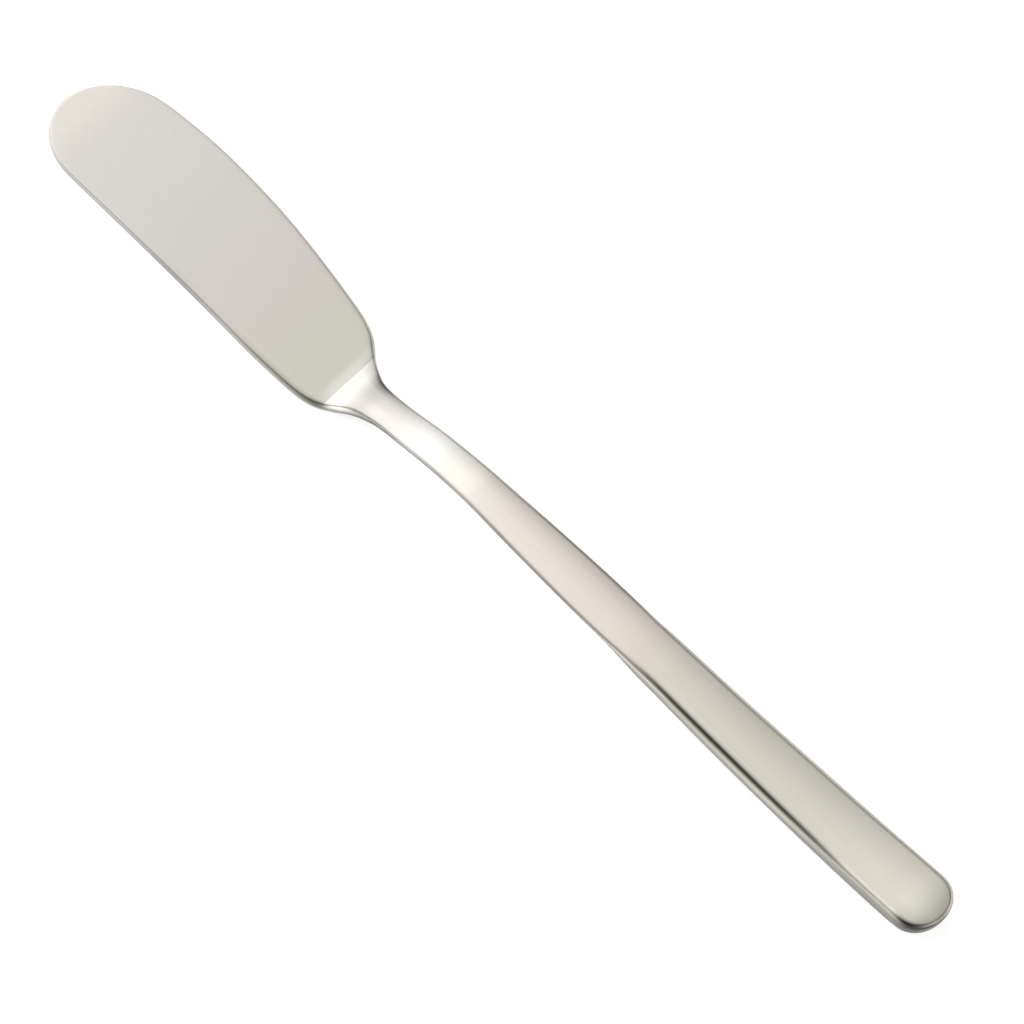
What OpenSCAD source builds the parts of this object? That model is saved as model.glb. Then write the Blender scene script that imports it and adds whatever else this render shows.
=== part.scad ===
// Butter knife forged from one bar of stainless steel, with a flat ground blade, a cranked
// half-round neck and a long crowned handle with flat side walls. It lies on the flat of its
// blade and on the handle's low place, before the turned-up end. The blade points along +X and
// its straight edge faces +Y. The origin is at the bottom centre of the whole knife.

/* [Overall] */
// Length from the tip of the blade to the end of the handle
overall_l = 170; // [150:1:200]

/* [Blade] */
// Length of the ground blade, from its tip to the grind line
blade_l = 59; // [50:1:66]
// Distance from the handle's axis to the outermost point of the curved edge
belly_w = 12; // [10:0.25:14]
// Distance from the handle's axis to the straight edge, at its heel
heel_w = 7; // [6:0.1:8.5]
// Distance from the handle's axis to the tip, towards the curved edge
tip_offset = 1.5; // [0:0.25:3]
// Length of the tip's round on the side of the curved edge
tip_round_curved_l = 10.5; // [8:0.5:16]
// Length of the tip's round on the side of the straight edge
tip_round_straight_l = 8.5; // [5:0.5:12]
// Thickness at the tip
tip_t = 1.2; // [0.9:0.1:1.8]
// Thickness at the grind line
base_t = 2.1; // [1.6:0.1:3]
// Width of the rounded band along the blade's edges at the tip
tip_edge_w = 0.35; // [0.25:0.05:0.9]
// Width of the rounded band along the blade's edges at the grind line
base_edge_w = 0.6; // [0.4:0.1:1.3]

/* [Neck] */
// Length from the grind line to the crest of the crank
neck_l = 25; // [18:1:32]
// Length of the bright ramp behind the grind line
ramp_l = 2.2; // [1.6:0.1:5]
// Length from the grind line to the narrowest place of the neck
shoulder_l = 8.5; // [6:0.5:12]
// Distance from the handle's axis to the shoulder on the curved side, at the grind line
shoulder_curved_w = 4.6; // [4:0.1:6]
// Distance from the handle's axis to the shoulder on the straight side, at the grind line
shoulder_straight_w = 5.7; // [4.5:0.1:6.5]
// Width of the neck at its narrowest
neck_w = 5.05; // [4.2:0.05:6]
// Thickness behind the ramp
neck_t = 2.8; // [2.5:0.1:4.5]
// Height of the neck's crowned top
neck_crown = 0.55; // [0.2:0.05:0.8]
// Height of the neck's half-round underside, at the narrowest place
neck_under_crown = 1.6; // [0.2:0.1:1.8]
// Width of the neck's rounded edges
neck_edge_w = 0.4; // [0.2:0.05:0.8]

/* [Handle] */
// Height of the top at the crest of the crank
crest_h = 6.7; // [5.6:0.1:11]
// Width of the handle at the crest
crest_w = 5.75; // [4.8:0.05:7]
// Thickness of the handle at the crest
crest_t = 3.6; // [3.1:0.1:5]
// Height of the half-round underside at the crest, and on to where the side walls start
crest_under_crown = 2.25; // [0.2:0.05:2.4]
// Width of the handle at its end
handle_w = 9.1; // [7:0.1:12]
// Thickness of the handle where its side walls are tallest
handle_t = 4.6; // [3.4:0.1:6]
// Thickness of the handle at its end
end_t = 4; // [2.4:0.1:4.8]
// Height of the handle's crowned top
handle_crown = 0.6; // [0.2:0.05:0.9]
// Height of the handle's crowned underside
handle_under_crown = 0.2; // [0.05:0.05:0.5]
// Width of the handle's softened edges
handle_edge_w = 0.5; // [0.3:0.1:1.2]
// Width of the rounded edge at the end of the handle
end_edge_w = 1; // [0.4:0.1:1.6]
// Length of the round at the end of the handle
end_round_l = 3.7; // [3:0.1:7]
// Distance that the underside stands back from the top at the end
end_lean_l = 0.5; // [0:0.1:1]
// Height to which the top turns up at the end, over the handle's low place
end_lift = 1.1; // [0:0.1:3]

/* [Hidden] */

// Places along the knife, measured from the tip
grind_s = blade_l;
narrow_s = blade_l + shoulder_l;
crest_s = blade_l + neck_l;
handle_l = overall_l - crest_s;
// The handle's axis lies off the middle of the knife, because the blade's belly reaches out
axis_y = (belly_w - heel_w) / 2;
// Step used to measure how steeply an outline runs
probe_l = 0.002;

// Curved edge of the blade: share of the blade's length, share of the belly
curved_edge_shares = [
    [0, 0.87], [0.36, 1], [0.53, 0.96], [0.68, 0.87], [0.83, 0.74], [0.91, 0.655], [0.955, 0.565]
];
// Straight edge of the blade: share of the blade's length, share of the heel
straight_edge_shares = [
    [0, 0.81], [0.34, 0.86], [0.6, 0.92], [0.84, 1], [0.93, 0.985], [0.97, 0.93]
];
// Shoulder on each side: share of its length, share of the way out from the neck
curved_shoulder_shares = [[0, 1], [0.24, 0.38], [0.48, 0.04], [0.75, 0], [1, 0]];
straight_shoulder_shares = [[0, 1], [0.24, 0.62], [0.48, 0.29], [0.75, 0.08], [1, 0.01]];
// Width from the narrowest place to the crest: share of the length, share of the gain
neck_width_shares = [[0.4, 0.25], [1, 1]];
// Width from the crest to the end: share of the length, share of the gain
handle_width_shares = [
    [0.13, 0.27], [0.25, 0.43], [0.34, 0.48], [0.5, 0.58], [0.75, 0.85], [1, 1]
];
// Top from the ramp to the crest: share of the length, share of the rise
crank_shares = [
    [0, 0], [0.12, 0.04], [0.25, 0.16], [0.39, 0.35], [0.56, 0.62], [0.78, 0.87], [1, 1]
];
// Top from the crest down to the low place: share of the handle's length, share of the drop
arch_shares = [
    [0.07, 0.95], [0.2, 0.77], [0.35, 0.48], [0.48, 0.23], [0.57, 0.1], [0.66, 0.02], [0.74, 0]
];
// Top of the turned-up end: share of the handle's length, share of the lift
upturn_shares = [[0.83, 0.13], [0.92, 0.6], [0.96, 0.85], [1, 1]];
// Thickness of the handle: share of its length, share of the gain over the crest
handle_thickness_shares = [[0.256, 0.06], [0.38, 0.2], [0.49, 0.7], [0.58, 1], [0.92, 1]];
// Rounded neck to flat side walls: share of the handle's length, share of the change
wall_shares = [[0, 0], [0.32, 0], [0.385, 1], [0.924, 1]];
// Flat side walls to rounded end: share of the handle's length, share of the change
end_edge_shares = [[0.965, 1], [1, 1]];
// Thickness of the edge rounding, as a share of what the crowns leave of the section
neck_round_share = 0.46;
handle_round_share = 0.21;
end_round_share = 0.4;
// Widest edge rounding, as a share of half the section's width
edge_limit_share = 0.9;

// Count of steps round an edge, across a face and along each stretch
edge_steps = 5;
face_steps = 6;
tip_steps = 12;
blade_steps = 26;
neck_steps = 26;
crest_steps = 12;
wall_steps = 7;
handle_steps = 18;
end_steps = 10;
chain_n = 2 * edge_steps + face_steps + 1;
ring_n = 2 * chain_n;

// Smooth curve through knots [place, value] that never swings past a knot
function secant(k, i) = (k[i + 1].y - k[i].y) / (k[i + 1].x - k[i].x);
function tangent(k, i) =
    i == 0 ? secant(k, 0)
    : i == len(k) - 1 ? secant(k, i - 1)
    : let (a = secant(k, i - 1), b = secant(k, i)) a * b <= 0 ? 0 : 2 * a * b / (a + b);
function span(k, s, i = 0) = i == len(k) - 2 || s <= k[i + 1].x ? i : span(k, s, i + 1);
function curve(k, s) =
    let (i = span(k, s), h = k[i + 1].x - k[i].x)
    let (t = min(max((s - k[i].x) / h, 0), 1))
    k[i].y * (1 + 2 * t) * (1 - t) ^ 2 + k[i + 1].y * t ^ 2 * (3 - 2 * t)
    + h * tangent(k, i) * t * (1 - t) ^ 2 - h * tangent(k, i + 1) * t ^ 2 * (1 - t);

// Knots of each curve, in millimetres from the tip
function from_shares(shares, start, l, low, high) =
    [for (p = shares) [start + p.x * l, low + p.y * (high - low)]];
neck_to_end = concat(
    from_shares(neck_width_shares, narrow_s, crest_s - narrow_s, neck_w / 2, crest_w / 2),
    from_shares(handle_width_shares, crest_s, handle_l, crest_w / 2, handle_w / 2)
);
curved_side = concat(
    from_shares(curved_edge_shares, 0, blade_l, 0, belly_w),
    from_shares(curved_shoulder_shares, grind_s, shoulder_l, neck_w / 2, shoulder_curved_w),
    neck_to_end
);
straight_side = concat(
    from_shares(straight_edge_shares, 0, blade_l, 0, heel_w),
    from_shares(straight_shoulder_shares, grind_s, shoulder_l, neck_w / 2, shoulder_straight_w),
    neck_to_end
);
ramp_s = grind_s + ramp_l;
top_line = concat(
    [[grind_s, base_t]],
    from_shares(crank_shares, ramp_s, crest_s - ramp_s, neck_t, crest_h),
    from_shares(arch_shares, crest_s, handle_l, handle_t, crest_h),
    from_shares(upturn_shares, crest_s, handle_l, handle_t, handle_t + end_lift)
);
bar_thickness = concat(
    [[grind_s, base_t], [ramp_s, neck_t], [crest_s, crest_t]],
    from_shares(handle_thickness_shares, crest_s, handle_l, crest_t, handle_t),
    [[overall_l, end_t]]
);
top_crown = [
    [0, 0], [grind_s, 0], [narrow_s, neck_crown], [crest_s, neck_crown], [overall_l, handle_crown]
];
under_crown = concat(
    [[0, 0], [grind_s, 0], [narrow_s, neck_under_crown]],
    from_shares(wall_shares, crest_s, handle_l, crest_under_crown, handle_under_crown),
    [[overall_l, handle_under_crown]]
);
edge_width = concat(
    [[0, tip_edge_w], [grind_s, base_edge_w]],
    from_shares(wall_shares, crest_s, handle_l, neck_edge_w, handle_edge_w),
    from_shares(end_edge_shares, crest_s, handle_l, handle_edge_w, end_edge_w)
);
edge_round = concat(
    [[0, neck_round_share]],
    from_shares(wall_shares, crest_s, handle_l, neck_round_share, handle_round_share),
    from_shares(end_edge_shares, crest_s, handle_l, handle_round_share, end_round_share)
);

// Heights of the top and of the underside. The blade is a plain wedge up to the grind line.
function top(s) = s <= grind_s ? tip_t + (base_t - tip_t) * s / grind_s : curve(top_line, s);
function low(s) = s <= grind_s ? 0 : max(0, top(s) - curve(bar_thickness, s));

// Distance from the axis to the outline, rounded off at the tip and at the end
function round_off(s, l) = s >= l ? 1 : s <= 0 ? 0 : sqrt(1 - (1 - s / l) ^ 2);
function curved_w(s) =
    (tip_offset + (curve(curved_side, s) - tip_offset) * round_off(s, tip_round_curved_l))
    * round_off(overall_l - s, end_round_l);
function straight_w(s) =
    (-tip_offset + (curve(straight_side, s) + tip_offset) * round_off(s, tip_round_straight_l))
    * round_off(overall_l - s, end_round_l);

// Point [s, w] that lies d inside the outline. In the rounds it is set in square to the
// outline, and between them straight towards the axis, so that sections stay flat.
function in_round(s) =
    s < max(tip_round_curved_l, tip_round_straight_l) || s > overall_l - end_round_l ? 1 : 0;
function inset(s, w, rise, d) =
    let (m = rise / probe_l, q = 1 + m * m, f = in_round(s))
    [s + f * d * m / sqrt(q), w - d * (1 - f * m * m / q) * sqrt(q)];
function inset_curved(s, d) = inset(s, curved_w(s), curved_w(s + probe_l) - curved_w(s), d);
function inset_straight(s, d) = inset(s, straight_w(s), straight_w(s + probe_l) - straight_w(s), d);

// One face of a section, from the straight side to the curved side, as [s, y, depth].
// Depth is how far the point lies below the middle of that face.
function chain(s, crown) =
    let (
        ys = straight_w(s), yc = curved_w(s), half = (ys + yc) / 2, mid = (ys - yc) / 2,
        wide = half / round_off(overall_l - s, end_round_l),
        soft = curve(edge_width, s),
        turned = acos(1 - min(1, half * edge_limit_share / soft)),
        body = top(s) - low(s) - curve(top_crown, s) - curve(under_crown, s),
        drop = body * curve(edge_round, s), level = drop * (1 - sin(turned)),
        turns = [for (k = [0:edge_steps]) turned * k / edge_steps],
        rim = [for (a = turns) [inset_straight(s, soft * (1 - cos(a))), drop * (1 - sin(a))]],
        far = [for (a = turns) [inset_curved(s, soft * (1 - cos(a))), drop * (1 - sin(a))]],
        first = [rim[edge_steps][0].x, rim[edge_steps][0].y],
        last = [far[edge_steps][0].x, -far[edge_steps][0].y],
        plan = concat(
            [for (r = rim) [r[0].x, r[0].y, r[1]]],
            [for (k = [1:face_steps - 1])
                let (p = first + (last - first) * k / face_steps) [p.x, p.y, level]],
            [for (k = [edge_steps:-1:0]) [far[k][0].x, -far[k][0].y, far[k][1]]]
        )
    )
    [for (p = plan) [p.x, p.y, p[2] + curve(crown, s) * ((p.y - mid) / wide) ^ 2]];

// The end is cut square to the turned-up metal, so its underside stands back from the top
function lean(s) = end_lean_l * max(0, 1 - (overall_l - s) / (2 * end_round_l)) ^ 2;

// Closed section at a distance s from the tip: its top, then its underside
function section(s) =
    let (upper = chain(s, top_crown), under = chain(s, under_crown), back = lean(s))
    concat(
        [for (p = upper) [overall_l / 2 - p.x, axis_y + p.y, top(p.x) - p[2]]],
        [for (k = [chain_n - 1:-1:0]) let (p = under[k])
            [overall_l / 2 - p.x + back, axis_y + p.y, low(p.x) + p[2]]]
    );

// Triangles that close a rounded end: the two halves of the section are zipped together
function zip(base) =
    concat(
        [for (b = [base, base + chain_n]) for (j = [0:edge_steps - 2])
            [b + j, b + j + 1, b + chain_n - 2 - j, b + chain_n - 1 - j]],
        [for (b = [base, base + chain_n]) [for (j = [edge_steps - 1:chain_n - edge_steps]) b + j]],
        [[base, base + chain_n - 1, base + chain_n, base + ring_n - 1]]
    );
function flip(faces) = [for (f = faces) [for (i = [len(f) - 1:-1:0]) f[i]]];

// Solid lofted through sections at the given places; each end is flat or rounded
module loft(places, start_round = false, end_round = false) {
    rings = [for (s = places) section(s)];
    last = (len(places) - 1) * ring_n;
    skin = [
        for (i = [0:len(places) - 2]) for (j = [0:ring_n - 1])
            let (a = i * ring_n + j, b = i * ring_n + (j + 1) % ring_n)
            each [[a, b, b + ring_n], [a, b + ring_n, a + ring_n]]
    ];
    flat = [for (j = [0:ring_n - 1]) j];
    front = start_round ? zip(0) : [flat];
    back = end_round ? zip(last) : [[for (j = flat) last + j]];
    polyhedron(points = [for (r = rings) each r], faces = concat(skin, flip(front), back));
}

// Places of the sections, from the tip to the end
tip_l = max(tip_round_curved_l, tip_round_straight_l);
wall_from_s = crest_s + wall_shares[1].x * handle_l;
wall_to_s = crest_s + wall_shares[2].x * handle_l;
function spaced(from, to, steps) = [for (k = [0:steps - 1]) from + (to - from) * k / steps];
blade_places = concat(
    [for (k = [0.6:1:tip_steps - 0.4]) tip_l * (1 - cos(90 * k / tip_steps))],
    spaced(tip_l, grind_s, blade_steps), [grind_s]
);
neck_places = concat(spaced(grind_s, crest_s, neck_steps), [crest_s]);
handle_places = concat(
    spaced(crest_s, wall_from_s, crest_steps), spaced(wall_from_s, wall_to_s, wall_steps),
    spaced(wall_to_s, overall_l - end_round_l, handle_steps),
    [for (k = [0:end_steps]) overall_l - end_round_l * (1 - sin(90 * max(0, k - 0.4) / end_steps))]
);

// Flat ground blade with a rounded tip, from the tip to the grind line
module blade() {
    color([0.83, 0.82, 0.79]) loft(blade_places, start_round = true);
}

// Shoulders, bright ramp and cranked neck, from the grind line to the crest
module neck() {
    color([0.94, 0.94, 0.93]) loft(neck_places);
}

// Crowned handle that widens to its round end
module handle() {
    color([0.8, 0.79, 0.77]) loft(handle_places, end_round = true);
}

blade();
neck();
handle();
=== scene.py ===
import math

import bmesh
import bpy
from mathutils import Matrix, Vector


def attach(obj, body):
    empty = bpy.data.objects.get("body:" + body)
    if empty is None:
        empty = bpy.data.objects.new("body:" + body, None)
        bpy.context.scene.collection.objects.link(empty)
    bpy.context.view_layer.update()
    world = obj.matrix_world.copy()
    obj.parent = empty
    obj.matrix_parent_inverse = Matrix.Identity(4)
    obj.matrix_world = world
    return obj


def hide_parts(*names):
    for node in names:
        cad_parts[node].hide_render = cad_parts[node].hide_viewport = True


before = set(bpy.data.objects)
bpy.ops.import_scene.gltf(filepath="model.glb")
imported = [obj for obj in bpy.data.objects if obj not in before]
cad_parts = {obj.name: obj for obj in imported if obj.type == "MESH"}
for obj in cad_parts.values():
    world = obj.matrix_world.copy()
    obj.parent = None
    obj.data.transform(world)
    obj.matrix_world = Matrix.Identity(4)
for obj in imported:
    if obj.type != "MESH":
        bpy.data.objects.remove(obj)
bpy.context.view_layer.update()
scene = bpy.context.scene
mm = 0.001
print("stage: frame loaded,", len(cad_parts), "solids")

# The knife's form, in millimetres. A curve is a list of (distance from the tip, value), and the
# rings are the distances at which the bar gets a section.
bladeForm = {
    "length": 59,
    "curvedEdge": [(0, 10.44), (21.24, 12), (31.27, 11.52), (40.12, 10.44), (48.97, 8.88),
                   (53.69, 7.86), (56.35, 6.78)],
    "straightEdge": [(0, 5.67), (20.06, 6.02), (35.4, 6.44), (49.56, 7), (54.87, 6.895),
                     (57.23, 6.51)],
    "tipSideways": 1.5,        # how far the tip lies off the handle's axis
    "tipRoundCurved": 10.5,    # length of the tip's round on the curved side
    "tipRoundStraight": 8.5,
    "thickness": [(0, 1.2), (59, 2.1)],
    "edgeWidth": [(0, 0.35), (57, 0.6)],     # rounded band along the edges
    "edgeShare": [(0, 0.46)],  # share of the side's height that the band takes
    "rings": [0.04, 0.16, 0.42, 0.85, 1.45, 2.2, 3.1, 4.2, 5.5, 7, 8.8, 11, 13.5, 16.5, 20,
              23.5, 27, 30.5, 34, 37.5, 41, 44, 46.5, 49, 51, 53, 54.5, 56, 57, 58],
}
neckForm = {
    "length": 25,
    "curvedEdge": [(59, 4.6), (61.04, 3.3135), (63.08, 2.58), (65.375, 2.47), (67.5, 2.49),
                   (74.1, 2.72), (84, 2.9)],
    "straightEdge": [(59, 5.7), (61.04, 4.4935), (63.08, 3.446), (65.375, 2.779),
                     (67.5, 2.557), (74.1, 2.63), (84, 2.9)],
    "top": [(59, 2.1), (61.2, 2.8), (63.936, 2.956), (66.9, 3.424), (70.092, 4.165),
            (73.968, 5.218), (78.984, 6.193), (84, 6.7)],
    "thickness": [(59, 2.1), (61.2, 2.8), (84, 3.6)],
    "topCrown": [(0, 0), (59, 0), (67.5, 0.55), (84, 0.55)],
    "underCrown": [(0, 0), (59, 0), (67.5, 1.6), (84, 2.25)],     # half-round underside
    "edgeWidth": [(59, 0.45), (61, 0.38), (63, 0.6), (66, 0.45), (84, 0.55)],
    "edgeShare": [(84, 0.46)],
    "rings": [59, 59.35, 59.8, 60.3, 60.8, 61.3, 61.9, 62.5, 63.1, 63.8, 64.6, 65.6, 66.8, 68.2,
              69.8, 71.6, 73.6, 75.6, 77.6, 79.4, 81, 82.2, 83.2],
}
handleForm = {
    "length": 86,
    "curvedEdge": [(95.18, 3.25), (105.5, 3.5), (113.24, 3.57), (118, 3.73), (127, 3.87),
                   (148.5, 4.31), (170, 4.55)],
    "straightEdge": [(95.18, 3.39), (105.5, 3.68), (113.24, 3.7), (118, 3.67), (127, 3.8465),
                     (148.5, 4.299), (170, 4.55)],
    "top": [(90.02, 6.595), (101.2, 6.217), (114.1, 5.608), (125.28, 5.083), (133.02, 4.81),
            (140.76, 4.642), (147.64, 4.6), (155.38, 4.743), (163.12, 5.26), (166.56, 5.535),
            (170, 5.7)],
    "thickness": [(106.016, 3.66), (116.68, 3.8), (126.14, 4.3), (133.88, 4.6), (163.12, 4.6),
                  (165.2, 4.4), (167, 4), (170, 3.5)],
    "topCrown": [(170, 0.6)],
    "underCrown": [(109.5, 2.25), (118.5, 0.2), (170, 0.2)],
    "edgeWidth": [(111.52, 0.55), (117.11, 0.85), (150, 0.85), (163.464, 0.7), (166.5, 0.75),
                  (170, 0.5)],
    "edgeShare": [(111.52, 0.46), (117.11, 0.21), (163.464, 0.21), (167, 0.26), (170, 0.4)],
    "endRound": 4.1,
    "endLean": 0.3,            # the underside stands back from the top at the end
    "rings": [84, 84.8, 85.8, 87.2, 89, 91, 93.5, 96, 99, 102, 105, 108, 110, 111.2, 112.4,
              113.6, 114.8, 116, 117.5, 119, 121, 123.5, 126, 129, 132, 135, 138, 141, 144,
              147, 150, 153, 156, 158.5, 160.5, 162, 163.2, 164.2, 165, 165.7, 166.3, 166.8,
              167.3, 167.75, 168.15, 168.52, 168.85, 169.13, 169.37, 169.57, 169.72, 169.83,
              169.91, 169.96, 169.987],
}
barForm = {
    "axisSideways": 2.5,       # the handle's axis lies this far towards the straight edge
    "edgeTurns": [30, 70, 90],  # degrees round the edge at which a column of faces starts
    "edgeLimit": 0.6,          # most of the half width that a rounded edge may take
    "facesAcross": 8,
    "facesDown": 4,
    "smoothing": 2,            # subdivision level of the finished surface
    "smoothAngle": 35,
    "cutTolerance": 1e-6,
}
fullLength = bladeForm["length"] + neckForm["length"] + handleForm["length"]
grindPlace = bladeForm["length"]
crestPlace = grindPlace + neckForm["length"]


# Smooth curve through the knots that never swings past one of them
def readCurve(knots, place):
    slopes = [(b[1] - a[1]) / (b[0] - a[0]) for a, b in zip(knots, knots[1:])]
    last = len(slopes)
    i = next((k for k in range(last) if place <= knots[k + 1][0]), last - 1)

    def tangent(k):
        if k == 0 or k == last:
            return slopes[min(k, last - 1)]
        before, after = slopes[k - 1], slopes[k]
        return 0 if before * after <= 0 else 2 * before * after / (before + after)

    step = knots[i + 1][0] - knots[i][0]
    t = min(max((place - knots[i][0]) / step, 0), 1)
    return (knots[i][1] * (1 + 2 * t) * (1 - t) ** 2 + knots[i + 1][1] * t * t * (3 - 2 * t)
            + step * tangent(i) * t * (1 - t) ** 2 - step * tangent(i + 1) * t * t * (1 - t))


curvedSide, straightSide, edgeWidth, edgeShare = (
    bladeForm[name] + neckForm[name] + handleForm[name]
    for name in ("curvedEdge", "straightEdge", "edgeWidth", "edgeShare"))
topLine, topCrown, underCrown, barThickness = (
    neckForm[name] + handleForm[name]
    for name in ("top", "topCrown", "underCrown", "thickness"))


def roundOff(place, length):
    return 1 if place >= length else math.sqrt(max(0, 1 - (1 - place / length) ** 2))


# Sideways places of the straight edge and of the curved edge at a distance from the tip
def outlineAt(place):
    end = roundOff(fullLength - place, handleForm["endRound"])
    tip = bladeForm["tipSideways"]
    curved = tip + (readCurve(curvedSide, place) - tip) * roundOff(
        place, bladeForm["tipRoundCurved"])
    straight = -tip + (readCurve(straightSide, place) + tip) * roundOff(
        place, bladeForm["tipRoundStraight"])
    return straight * end, -curved * end


# Heights of the bottom and the top; the blade is a plain wedge that lies on the table
def heightsAt(place):
    if place <= grindPlace:
        return 0, readCurve(bladeForm["thickness"], place)
    top = readCurve(topLine, place)
    return max(0, top - readCurve(barThickness, place)), top


# How far the underside stands back towards the tip
def leanAt(place):
    near = 1 - (fullLength - place) / (2 * handleForm["endRound"])
    return handleForm["endLean"] * max(0, near) ** 2


# Points of the outline, closest together at the two rounds
outlineSteps = 1200
outlinePoints = [(place, side) for place in
                 [fullLength * (1 - math.cos(math.pi * k / outlineSteps)) / 2
                  for k in range(outlineSteps + 1)]
                 for side in outlineAt(place)]


# How far a point of the plan lies inside the outline
def rimDistance(place, side):
    reach = 4
    return min(math.hypot(place - p, side - s) for p, s in outlinePoints
               if abs(place - p) < reach)


# Painted reflection over the steel's plain colour, as curves along the knife: values below 1
# paint the dark bands that the rounded edges and walls would mirror, values above 1 paint
# highlights. On each side they run from the middle of the top over the rounded edge and down the
# wall.
paintedReflectionForm = {
    "curvedSide": {
        "flank": [(57.5, 1), (59.5, 0.93), (62, 0.96), (66, 1)],
        "margin": [(57.5, 1), (59.5, 0.62), (61, 0.55), (63.1, 0.5), (64.6, 0.65), (66, 0.78),
                   (70, 0.95), (86, 0.9), (106, 0.9), (118, 1), (165, 1), (170, 1)],
        "edgeTop": [(0, 0.95), (20, 1), (54, 0.9), (59.5, 0.45), (61, 0.26), (63.1, 0.1),
                    (64.6, 0.3), (66, 0.42), (70, 0.52), (74, 0.52), (82, 0.65), (92, 0.5),
                    (104, 0.42), (112, 0.45), (118, 0.7), (150, 0.8), (157, 0.7), (165, 0.62),
                    (168.4, 1.1), (170, 2)],
        "edge": [(0, 0.85), (20, 0.95), (54, 0.8), (59.5, 0.35), (61, 0.2), (63.1, 0.05),
                 (64.6, 0.25), (66, 0.38), (70, 0.45), (74, 0.45), (82, 0.6), (92, 0.42),
                 (104, 0.35), (112, 0.38), (118, 0.4), (150, 0.42), (157, 0.4), (165, 0.48),
                 (168.4, 0.7), (169.6, 0.35), (170, 0.35)],
        "wallTop": [(0, 0.6), (54, 0.7), (60, 0.4), (84, 0.35), (118, 0.25), (157, 0.25),
                    (168, 0.2), (170, 0.12)],
        "wallMiddle": [(0, 0.5), (54, 0.6), (60, 0.45), (84, 0.5), (163, 0.5), (168, 0.25),
                       (170, 0.1)],
        "wallFoot": [(0, 0.5), (54, 0.6), (60, 0.5), (163, 0.55), (168, 0.3), (170, 0.1)],
        "underEdge": [(0, 0.5), (60, 0.5), (163, 0.6), (168, 0.3), (170, 0.1)],
    },
    "straightSide": {
        "flank": [(60.5, 1), (62.7, 1.2), (65, 1.18), (68, 1.05), (71, 1)],
        "margin": [(0, 1), (57.2, 1), (58.5, 0.75), (59.3, 1), (61, 1.1), (62.7, 1.3), (65, 1.2),
                   (68, 1.05), (71, 1), (153, 1), (157, 0.97), (163, 0.96), (166.4, 0.85),
                   (168, 0.95), (170, 1)],
        "edgeTop": [(0, 0.95), (20, 0.95), (30, 0.8), (40, 0.85), (49, 0.55), (56, 0.42),
                    (58.5, 0.25), (60.5, 1.15), (64, 1.2), (68, 1), (84, 0.95), (112, 0.95),
                    (116, 0.85), (119, 0.3), (122, 0.12), (129, 0.07), (143, 0.1), (148.5, 0.26),
                    (153, 0.75), (157, 1.38), (164.4, 1.34), (165.7, 0.4), (166.6, 0.07),
                    (168, 0.22), (169.1, 1.1), (169.8, 1.8), (170, 2)],
        "edge": [(0, 0.8), (20, 0.8), (30, 0.6), (40, 0.7), (49, 0.6), (56, 0.4), (58.5, 0.15),
                 (60.5, 1.1), (63, 0.7), (65, 0.4), (74, 0.5), (84, 0.6), (92, 0.5), (112, 0.6),
                 (116, 0.85), (119, 0.85), (124, 0.6), (129, 0.45), (143, 0.55), (149, 0.65),
                 (157, 0.64), (164.4, 0.64), (166.2, 0.3), (167.2, 0.12), (168, 0.1),
                 (169.8, 0.15), (170, 0.35)],
        "wallTop": [(0, 0.5), (20, 0.45), (30, 0.35), (40, 0.55), (49, 0.7), (54, 0.6),
                    (57, 0.5), (58.5, 0.2), (61, 0.5), (63, 0.3), (65, 0.12), (74, 0.12),
                    (82, 0.27), (92, 0.18), (104, 0.28), (113, 0.4), (118, 0.5), (129, 0.66),
                    (143, 0.76), (149, 0.6), (157, 0.38), (164, 0.36), (166.2, 0.15),
                    (168, 0.08), (170, 0.08)],
        "wallMiddle": [(0, 0.42), (20, 0.38), (30, 0.3), (40, 0.5), (49, 0.7), (57, 0.7),
                       (58.5, 0.35), (61, 0.4), (65, 0.12), (74, 0.15), (84, 0.25), (92, 0.16),
                       (108, 0.25), (113, 0.24), (118, 0.26), (129, 0.36), (143, 0.38),
                       (149, 0.28), (157, 0.3), (164, 0.26), (166.4, 0.12), (168, 0.08),
                       (170, 0.08)],
        "wallFoot": [(0, 0.36), (30, 0.28), (40, 0.42), (49, 0.7), (57, 0.85), (58.5, 0.5),
                     (61, 0.35), (65, 0.15), (84, 0.25), (96, 0.2), (113, 0.2), (120, 0.2),
                     (143, 0.14), (157, 0.14), (164, 0.1), (170, 0.1)],
        "underEdge": [(0, 0.36), (30, 0.3), (49, 0.55), (59, 0.4), (65, 0.15), (84, 0.25),
                      (113, 0.2), (120, 0.2), (143, 0.14), (157, 0.14), (170, 0.1)],
    },
}


# Painted reflection of one vertex of a section, the painted shade or highlight that scales its
# steel colour;
# inside is its distance from the rim as a share of the rounded edge's width
def paintedReflectionAt(place, column, level, inside):
    across, down = barForm["facesAcross"], barForm["facesDown"]
    fromSide = min(column, across - column)
    onEdge = inside < 0.99
    paintedReflections = paintedReflectionForm["curvedSide" if column < across / 2 else "straightSide"]
    if level == down and onEdge:
        marks = [1 - math.cos(math.radians(turn)) for turn in barForm["edgeTurns"]]
        return readCurve([(mark, readCurve(paintedReflections[name], place))
                          for mark, name in zip(marks, ("edge", "edgeTop", "margin"))], inside)
    if level == down:
        name = ("edge", "edgeTop", "margin", "flank", None)[fromSide]
    elif level == 0:
        name = "underEdge" if onEdge or fromSide < len(barForm["edgeTurns"]) else None
    else:
        name = ("wallFoot", "wallMiddle", "wallTop")[level - 1]
    return readCurve(paintedReflections[name], place) if name else 1
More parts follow.
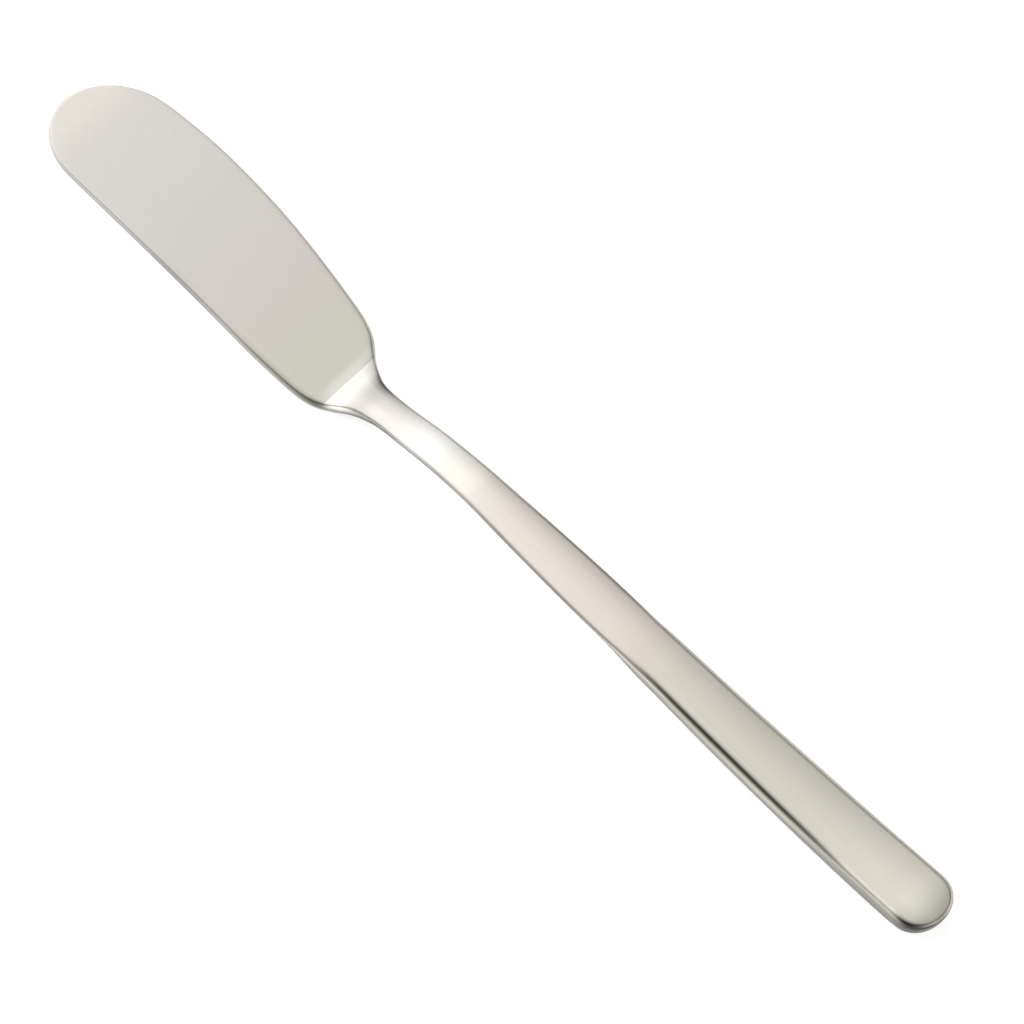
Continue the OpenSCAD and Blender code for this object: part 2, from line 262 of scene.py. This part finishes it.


# The section at a distance from the tip: the sideways place of each column, its bottom and top
# heights, the two outer edges, the heights of the wall between them, and the columns' painted
# reflection (painted shade and highlight)
def sectionAt(place):
    straight, curved = outlineAt(place)
    middle, half = (straight + curved) / 2, (straight - curved) / 2
    wide = (readCurve(curvedSide, place) + readCurve(straightSide, place)) / 2
    bottom, top = heightsAt(place)
    crowns = readCurve(underCrown, place), readCurve(topCrown, place)
    width = readCurve(edgeWidth, place)
    depth = readCurve(edgeShare, place) * (top - bottom - sum(crowns))
    probe = 0.01
    columns = []
    for edge, k in ((curved, 0), (straight, 1)):
        lean = (outlineAt(place + probe)[1 - k] - edge) / probe
        band = min(width * math.hypot(1, lean), barForm["edgeLimit"] * half)
        inward = -1 if edge > middle else 1
        columns.append([edge + inward * band * (1 - math.cos(math.radians(turn)))
                        for turn in barForm["edgeTurns"]])
        columns[-1].append((columns[-1][-1] + middle) / 2)
    sides = columns[0] + [middle] + columns[1][::-1]
    heights, paintedReflections = [], []
    for column, side in enumerate(sides):
        inside = min(rimDistance(place, side) / width, 1)
        drop = depth * (1 - math.sqrt(1 - (1 - inside) ** 2))
        bulge = ((side - middle) / wide) ** 2
        heights.append((bottom + crowns[0] * bulge + drop, top - crowns[1] * bulge - drop))
        paintedReflections.append([paintedReflectionAt(place, column, level, inside)
                      for level in range(barForm["facesDown"] + 1)])
    bulge = (half / wide) ** 2
    wall = (bottom + crowns[0] * bulge + depth, top - crowns[1] * bulge - depth)
    return sides, heights, (curved, straight), wall, paintedReflections


# The bar is one grid drawn out section by section, and is cut where the zones meet
def atPlace(place, side, height):
    return Vector(((fullLength / 2 - place) * mm, (barForm["axisSideways"] + side) * mm,
                   height * mm))


gridLayers = ("column", "level", "ring")


def chooseOnly(mesh, verts):
    for v in mesh.verts:
        v.select = False
    for v in verts:
        v.select = True
    mesh.select_flush_mode()


def dragTo(mesh, vert, target):
    chooseOnly(mesh, [vert])
    bpy.ops.transform.translate(value=target - vert.co)


# Shapes the grid of vertices that closes the bar into the section at a place
def shapeSection(bar, place, number):
    mesh = bmesh.from_edit_mesh(bar.data)
    column, level, ring = (mesh.verts.layers.int[name] for name in gridLayers)
    paintedReflection = mesh.verts.layers.float["paintedReflection"]
    sides, heights, edges, wall, paintedReflections = sectionAt(place)
    down = barForm["facesDown"]
    for v in [v for v in mesh.verts if v.select]:
        c, l = v[column], v[level]
        low, high = heights[c]
        side, height = sides[c], low + (high - low) * l / down
        if c in (0, barForm["facesAcross"]) and 0 < l < down:
            side = edges[0 if c == 0 else 1]
            height = wall[0] + (wall[1] - wall[0]) * (l - 1) / (down - 2)
        dragTo(mesh, v, atPlace(place - leanAt(place) * (1 - l / down), side, height))
        # each vertex keeps its painted reflection, the painted shade or highlight for its colour
        v[paintedReflection], v[ring] = paintedReflections[c][l], number


def selectSection(bar, number):
    mesh = bmesh.from_edit_mesh(bar.data)
    ring = mesh.verts.layers.int["ring"]
    chooseOnly(mesh, [v for v in mesh.verts if v[ring] == number])
    bmesh.update_edit_mesh(bar.data)


def drawBar():
    rings = bladeForm["rings"] + neckForm["rings"] + handleForm["rings"]
    bpy.ops.object.select_all(action="DESELECT")
    bpy.ops.mesh.primitive_grid_add(
        x_subdivisions=barForm["facesDown"], y_subdivisions=barForm["facesAcross"], size=mm,
        location=atPlace(rings[0], 0, 0), rotation=(0, -math.pi / 2, 0))
    bar = bpy.context.active_object
    bpy.ops.object.transform_apply()
    bpy.ops.object.mode_set(mode="EDIT")
    mesh = bmesh.from_edit_mesh(bar.data)
    column, level, _ = (mesh.verts.layers.int.new(name) for name in gridLayers)
    # a float layer for the painted reflection: painted shade and highlight per vertex
    mesh.verts.layers.float.new("paintedReflection")
    low = Vector(map(min, *[v.co for v in mesh.verts]))
    for v in mesh.verts:
        v[column] = round((v.co.y - low.y) / mm * barForm["facesAcross"])
        v[level] = round((v.co.z - low.z) / mm * barForm["facesDown"])
    bmesh.update_edit_mesh(bar.data)
    shapeSection(bar, rings[0], 0)
    for number, (before, place) in enumerate(zip(rings, rings[1:]), 1):
        selectSection(bar, number - 1)
        bpy.ops.mesh.extrude_region_move(
            TRANSFORM_OT_translate={"value": ((before - place) * mm, 0, 0)})
        shapeSection(bar, place, number)
    selectSection(bar, rings.index(grindPlace))
    bpy.ops.transform.edge_crease(value=1)
    bpy.ops.mesh.select_all(action="SELECT")
    bpy.ops.mesh.normals_make_consistent(inside=False)
    bpy.ops.object.mode_set(mode="OBJECT")
    for name in gridLayers:
        bar.data.attributes.remove(bar.data.attributes[name])
    smooth = bar.modifiers.new("smooth", "SUBSURF")
    smooth.levels = smooth.render_levels = barForm["smoothing"]
    bpy.ops.object.modifier_apply(modifier=smooth.name)
    return bar


# Copies the bar and keeps what lies between two places, closed with flat faces
def cutZone(bar, name, start, end):
    bpy.ops.object.select_all(action="DESELECT")
    bar.select_set(True)
    bpy.context.view_layer.objects.active = bar
    bpy.ops.object.duplicate()
    zone = bpy.context.active_object
    zone.name = zone.data.name = name
    bpy.ops.object.mode_set(mode="EDIT")
    for place, keepsTip in ((start, False), (end, True)):
        if 0 < place < fullLength:
            bpy.ops.mesh.select_all(action="SELECT")
            bpy.ops.mesh.bisect(
                plane_co=atPlace(place, 0, 0), plane_no=(1, 0, 0), use_fill=True,
                clear_inner=keepsTip, clear_outer=not keepsTip,
                threshold=barForm["cutTolerance"])
    bpy.ops.object.mode_set(mode="OBJECT")
    bpy.ops.object.shade_smooth_by_angle(angle=math.radians(barForm["smoothAngle"]))
    return zone


bar = drawBar()
print("stage: bar drawn,", len(bar.data.polygons), "faces")
groundBlade = cutZone(bar, "groundBlade", 0, grindPlace)
crankedNeck = cutZone(bar, "crankedNeck", grindPlace, crestPlace)
crownedHandle = cutZone(bar, "crownedHandle", crestPlace, fullLength)
bpy.data.objects.remove(bar)
for piece, node, slot in ((groundBlade, "blade", "ground_steel"),
                          (crankedNeck, "neck", "bright_steel"),
                          (crownedHandle, "handle", "satin_steel")):
    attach(piece, "root")
    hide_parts(node)
print("stage: zones cut,", [len(p.data.polygons) for p in (groundBlade, crankedNeck,
                                                            crownedHandle)], "faces")

# The colours are a list of (distance from the tip, colour), partly the steel's colour and partly
# painted light along the knife; the grain is how often the noise repeats in a metre, along,
# across and up
# blade: painted light darkens it from the tip towards the grind, and a painted highlight lies
# along the grind line at 58 mm
groundLook = {
    "colourWithPaintedLight": [(3, (0.785, 0.75, 0.69)), (8, (0.715, 0.685, 0.64)), (18, (0.695, 0.665, 0.633)),
                (30, (0.675, 0.645, 0.603)), (41, (0.667, 0.631, 0.59)),
                (53, (0.645, 0.625, 0.545)), (57.2, (0.655, 0.635, 0.555)),
                (58, (0.8, 0.785, 0.69)), (58.6, (0.8, 0.79, 0.74))],
    "roughness": 0.36, "grain": (900, 900, 900), "bump": 0.15, "streak": 0.05,
}
# neck: lighter and darker stretches of painted light along the crank
brightLook = {
    "colourWithPaintedLight": [(59, (0.86, 0.83, 0.77)), (61, (0.87, 0.84, 0.79)), (62.7, (0.69, 0.66, 0.62)),
                (67, (0.71, 0.675, 0.635)), (69.5, (0.77, 0.74, 0.7)), (72.5, (0.86, 0.84, 0.81)),
                (75, (0.89, 0.87, 0.84)), (78, (0.82, 0.81, 0.77)), (81, (0.85, 0.81, 0.735)),
                (84, (0.91, 0.855, 0.785))],
    "roughness": 0.29, "grain": (70, 2600, 2600), "bump": 0.08, "streak": 0.05,
}
# handle: painted light fades from the crest towards the end, and painted shade darkens the last
# few millimetres of the round end
satinLook = {
    "colourWithPaintedLight": [(84, (0.91, 0.855, 0.785)), (90, (0.895, 0.825, 0.75)),
                (110, (0.92, 0.84, 0.765)), (115, (0.878, 0.8, 0.716)),
                (121, (0.815, 0.772, 0.682)), (133, (0.757, 0.725, 0.638)),
                (155, (0.727, 0.697, 0.617)), (161, (0.7, 0.67, 0.595)),
                (164.5, (0.72, 0.69, 0.612)), (166.4, (0.675, 0.65, 0.575)),
                (167.5, (0.59, 0.568, 0.505)), (168.6, (0.475, 0.455, 0.405)),
                (169.3, (0.42, 0.405, 0.36)), (170, (0.38, 0.365, 0.33))],
    "roughness": 0.29, "grain": (70, 2600, 2600), "bump": 0.12, "streak": 0.05,
}
grainForm = {"detail": 4, "depth": 0.02}


# Gives a colour ramp its stops, a list of (position, colour)
def fillRamp(ramp, stops):
    while len(ramp.color_ramp.elements) < len(stops):
        ramp.color_ramp.elements.new(0.5)
    for stop, (where, colour) in zip(ramp.color_ramp.elements, stops):
        stop.position = where
        stop.color = (*colour, 1)


# Brushed steel: the colour runs along the knife with painted light in it, the stored painted
# reflection darkens it with painted shade or lightens it with painted highlight, and one
# stretched noise makes the grain in colour, roughness and bump
def makeSteel(name, look):
    steel = bpy.data.materials.new(name)
    steel.use_nodes = True
    nodes, links = steel.node_tree.nodes, steel.node_tree.links
    shader = nodes["Principled BSDF"]
    shader.inputs["Metallic"].default_value = 1
    place = nodes.new("ShaderNodeTexCoord")

    split = nodes.new("ShaderNodeSeparateXYZ")
    links.new(place.outputs["Object"], split.inputs[0])
    along = nodes.new("ShaderNodeMapRange")
    along.inputs["From Min"].default_value = fullLength / 2 * mm
    along.inputs["From Max"].default_value = -fullLength / 2 * mm
    links.new(split.outputs["X"], along.inputs["Value"])
    ramp = nodes.new("ShaderNodeValToRGB")
    fillRamp(ramp, [(where / fullLength, colour) for where, colour in look["colourWithPaintedLight"]])
    links.new(along.outputs["Result"], ramp.inputs["Fac"])

    stretch = nodes.new("ShaderNodeMapping")
    stretch.inputs["Scale"].default_value = look["grain"]
    grain = nodes.new("ShaderNodeTexNoise")
    grain.inputs["Scale"].default_value = 1
    grain.inputs["Detail"].default_value = grainForm["detail"]
    links.new(place.outputs["Object"], stretch.inputs["Vector"])
    links.new(stretch.outputs["Vector"], grain.inputs["Vector"])
    streak = nodes.new("ShaderNodeMapRange")
    streak.inputs["To Min"].default_value = 1 - look["streak"]
    streak.inputs["To Max"].default_value = 1 + look["streak"]
    links.new(grain.outputs["Fac"], streak.inputs["Value"])
    # the stored painted reflection: painted shade and highlight that scale the colour
    paintedReflectionNode = nodes.new("ShaderNodeAttribute")
    paintedReflectionNode.attribute_name = "paintedReflection"
    both = nodes.new("ShaderNodeMath")
    both.operation = "MULTIPLY"
    links.new(paintedReflectionNode.outputs["Fac"], both.inputs[0])
    links.new(streak.outputs["Result"], both.inputs[1])
    mix = nodes.new("ShaderNodeVectorMath")
    mix.operation = "SCALE"
    links.new(ramp.outputs["Color"], mix.inputs[0])
    links.new(both.outputs[0], mix.inputs["Scale"])
    links.new(mix.outputs["Vector"], shader.inputs["Base Color"])

    rough = nodes.new("ShaderNodeMapRange")
    rough.inputs["To Min"].default_value = look["roughness"] - look["streak"]
    rough.inputs["To Max"].default_value = look["roughness"] + look["streak"]
    links.new(grain.outputs["Fac"], rough.inputs["Value"])
    links.new(rough.outputs["Result"], shader.inputs["Roughness"])
    bump = nodes.new("ShaderNodeBump")
    bump.inputs["Strength"].default_value = look["bump"]
    bump.inputs["Distance"].default_value = grainForm["depth"] * mm
    links.new(grain.outputs["Fac"], bump.inputs["Height"])
    links.new(bump.outputs["Normal"], shader.inputs["Normal"])
    return steel


for piece, name, look in ((groundBlade, "groundSteel", groundLook),
                          (crankedNeck, "brightSteel", brightLook),
                          (crownedHandle, "satinSteel", satinLook)):
    piece.data.materials.clear()
    piece.data.materials.append(makeSteel(name, look))
print("stage: finishes set")

studio = {
    "floorSize": 6,
    "floorColour": 0.9,
    "floorGlow": 0.65,         # what the camera and mirroring steel see on top of its colour
    "brightFrom": (0.80, 0.05, 0.60),
    # how bright the dome is, by the cosine of the angle from its brightest direction
    "fall": [(0.0, 0.42), (0.14, 0.4), (0.28, 0.27), (0.38, 0.26), (0.5, 0.5), (0.58, 0.73),
             (0.68, 0.83), (0.77, 1.0), (0.95, 1.33)],
}
bpy.ops.object.select_all(action="DESELECT")
bpy.ops.mesh.primitive_plane_add(size=studio["floorSize"], location=(0, 0, 0))
floor = bpy.context.active_object
floor.name = "floor"


def makePaper():
    paper = bpy.data.materials.new("paleFloor")
    paper.use_nodes = True
    nodes, links = paper.node_tree.nodes, paper.node_tree.links
    nodes.clear()
    matte = nodes.new("ShaderNodeBsdfDiffuse")
    matte.inputs["Color"].default_value = (*[studio["floorColour"]] * 3, 1)
    glow = nodes.new("ShaderNodeEmission")
    path = nodes.new("ShaderNodeLightPath")
    seen = nodes.new("ShaderNodeMath")
    seen.operation = "MAXIMUM"
    also = nodes.new("ShaderNodeMath")
    also.operation = "MAXIMUM"
    links.new(path.outputs["Is Camera Ray"], seen.inputs[0])
    links.new(path.outputs["Is Glossy Ray"], seen.inputs[1])
    links.new(seen.outputs[0], also.inputs[0])
    links.new(path.outputs["Is Transmission Ray"], also.inputs[1])
    level = nodes.new("ShaderNodeMath")
    level.operation = "MULTIPLY"
    level.inputs[1].default_value = studio["floorGlow"]
    links.new(also.outputs[0], level.inputs[0])
    links.new(level.outputs[0], glow.inputs["Strength"])
    both = nodes.new("ShaderNodeAddShader")
    out = nodes.new("ShaderNodeOutputMaterial")
    links.new(matte.outputs[0], both.inputs[0])
    links.new(glow.outputs[0], both.inputs[1])
    links.new(both.outputs[0], out.inputs["Surface"])
    return paper


def makeDome():
    dome = bpy.data.worlds.new("softDome")
    dome.use_nodes = True
    nodes, links = dome.node_tree.nodes, dome.node_tree.links
    sky = nodes["Background"]
    direction = nodes.new("ShaderNodeTexCoord")
    facing = nodes.new("ShaderNodeVectorMath")
    facing.operation = "DOT_PRODUCT"
    facing.inputs[1].default_value = Vector(studio["brightFrom"]).normalized()
    links.new(direction.outputs["Generated"], facing.inputs[0])
    ramp = nodes.new("ShaderNodeValToRGB")
    brightest = max(value for _, value in studio["fall"])
    fillRamp(ramp, [(where, [value / brightest] * 3) for where, value in studio["fall"]])
    links.new(facing.outputs["Value"], ramp.inputs["Fac"])
    links.new(ramp.outputs["Color"], sky.inputs["Color"])
    sky.inputs["Strength"].default_value = brightest
    return dome


floor.data.materials.append(makePaper())
scene.world = makeDome()

# Angles in degrees, place and lens in millimetres, clipEnd in metres
view = {"tilt": 22.0, "turn": 45.08, "place": (-214.204, 212.338, 740.969),
        "lens": 207.05, "sensor": 36, "clipEnd": 20}


def makeCamera():
    tilt, turn = math.radians(view["tilt"]), math.radians(view["turn"])
    ground = Vector((math.cos(turn), -math.sin(turn), 0))      # up in the picture, on the floor
    right = Vector((-math.sin(turn), -math.cos(turn), 0))
    up = ground * math.cos(tilt) + Vector((0, 0, math.sin(tilt)))
    back = right.cross(up)
    camera = bpy.data.objects.new("camera", bpy.data.cameras.new("camera"))
    camera.data.lens = view["lens"]
    camera.data.sensor_width = view["sensor"]
    camera.data.clip_end = view["clipEnd"]
    camera.matrix_world = (Matrix.Translation(Vector(view["place"]) * mm)
                           @ Matrix((right, up, back)).transposed().to_4x4())
    scene.collection.objects.link(camera)
    return camera


scene.camera = makeCamera()
scene.view_settings.view_transform = "Standard"
print("stage: studio ready")
